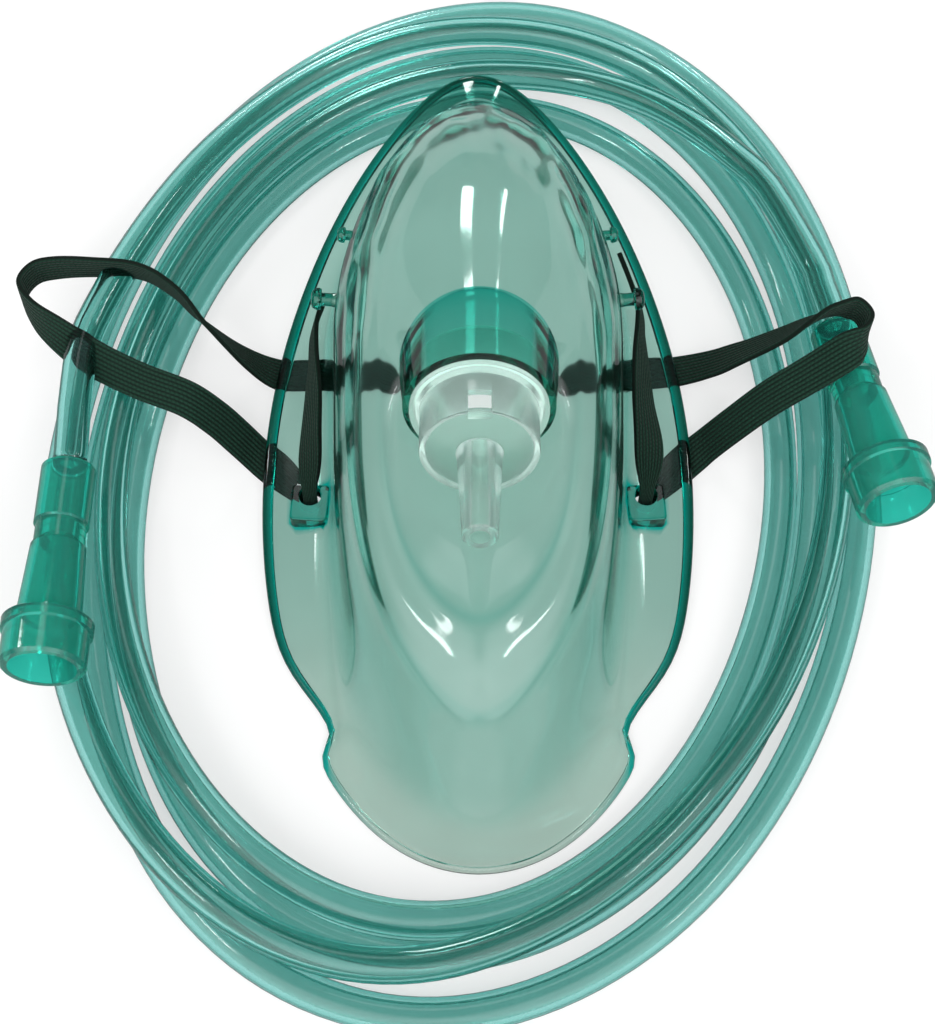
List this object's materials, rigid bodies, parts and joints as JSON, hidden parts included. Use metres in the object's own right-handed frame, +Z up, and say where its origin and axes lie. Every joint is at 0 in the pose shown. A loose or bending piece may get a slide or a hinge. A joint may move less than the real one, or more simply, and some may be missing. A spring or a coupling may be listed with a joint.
{
  "type": "oxygen face mask",
  "caption": "Translucent green elongated oxygen face mask with a port collar, frosted push-in connector, elastic head strap and a loose coil of tubing with funnel connectors.",
  "frame": {"origin": "On the floor plane, at the centre of the box round the mask, its port connector and its strap.", "axes": "+Y from the chin end to the nose end of the mask, +X to the side of the strap loop that lies over a tube connector, +Z up out of the front of the mask, so the face side is down."},
  "size_m": [0.1728, 0.2241, 0.0593],
  "materials": {
    "mask_pvc": "clear pale green soft vinyl, glossy",
    "connector_plastic": "frosted, nearly colourless",
    "strap_elastic": "braided elastic, very dark green",
    "tube_pvc": "clear green soft vinyl, glossy",
    "funnel_pvc": "clear saturated green vinyl, glossy"
  },
  "bodies": {
    "root": {"mask_shell": "mask_pvc", "port_connector": "connector_plastic", "elastic_strap": "strap_elastic", "tube_coil": "tube_pvc", "tube_end_left": "tube_pvc", "tube_end_right": "tube_pvc", "tube_connector_left": "funnel_pvc", "tube_connector_right": "funnel_pvc"}
  },
  "joints": []
}
